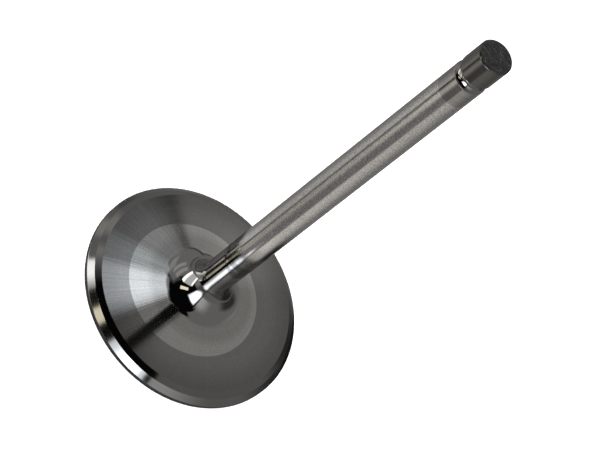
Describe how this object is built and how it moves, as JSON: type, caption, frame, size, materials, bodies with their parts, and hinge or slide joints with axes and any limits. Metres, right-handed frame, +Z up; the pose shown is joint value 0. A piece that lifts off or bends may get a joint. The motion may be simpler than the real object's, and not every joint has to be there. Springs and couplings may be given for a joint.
{
  "type": "engine valve",
  "caption": "Poppet valve with a wide conical head, a ground stem and a half-round lock groove under the tip.",
  "frame": {"origin": "centre of the combustion face, on the plane the head stands on", "axes": "+Z up the stem from the head to the tip"},
  "size_m": [0.055, 0.055, 0.127],
  "materials": {
    "valve_steel": "turned head with a polished seat and fillet, ground stem, dark hardened tip"
  },
  "bodies": {
    "root": {"valve": "valve_steel"}
  },
  "joints": []
}
